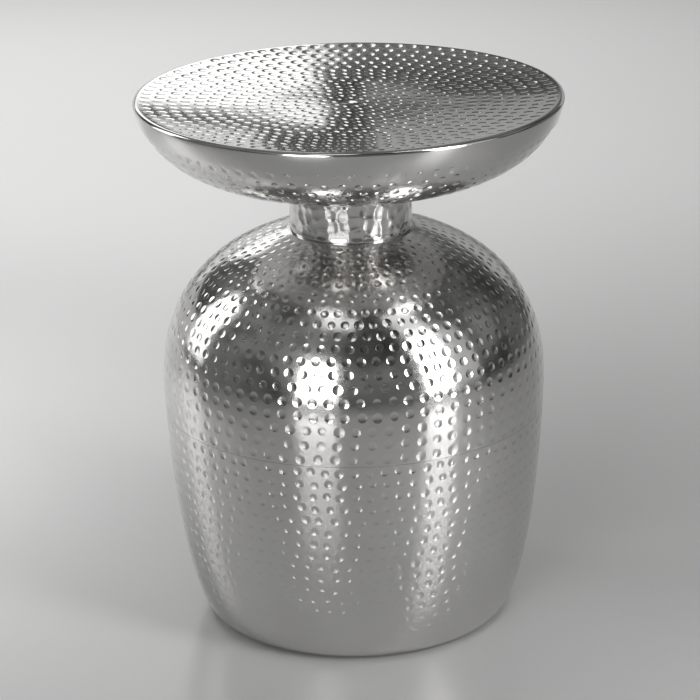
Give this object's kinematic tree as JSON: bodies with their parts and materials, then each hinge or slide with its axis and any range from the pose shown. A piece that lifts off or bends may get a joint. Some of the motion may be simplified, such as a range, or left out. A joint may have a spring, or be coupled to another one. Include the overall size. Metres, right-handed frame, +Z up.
{
  "type": "drum side table",
  "caption": "Drum side table in hammered metal: a shallow dished hollow top on a short round collar over a rounded hollow drum base, held together by a bolt inside the collar.",
  "frame": {"origin": "centre of the footprint, on the floor", "axes": "+Z up along the axis that every skin is turned about; +X and +Y are level, with the pads on the diagonals"},
  "size_m": [0.3599, 0.36, 0.46],
  "materials": {
    "hammered_metal": "polished, hammered all over by hand",
    "plain_sheet": "as rolled",
    "plated_steel": "zinc plated",
    "felt": "pressed felt"
  },
  "bodies": {
    "root": {"top_dish": "hammered_metal", "under_bowl": "hammered_metal", "neck_collar": "hammered_metal", "shoulder_shell": "hammered_metal", "belly_shell": "hammered_metal", "seam_band": "plain_sheet", "bowl_fixing_plate": "plated_steel", "clamp_bolt": "plated_steel", "crown_clamp_plate": "plated_steel", "plain_washer": "plated_steel", "spring_washer": "plated_steel", "clamp_nut": "plated_steel", "foot_pad_1": "felt", "foot_pad_2": "felt", "foot_pad_3": "felt", "foot_pad_4": "felt"}
  },
  "joints": []
}
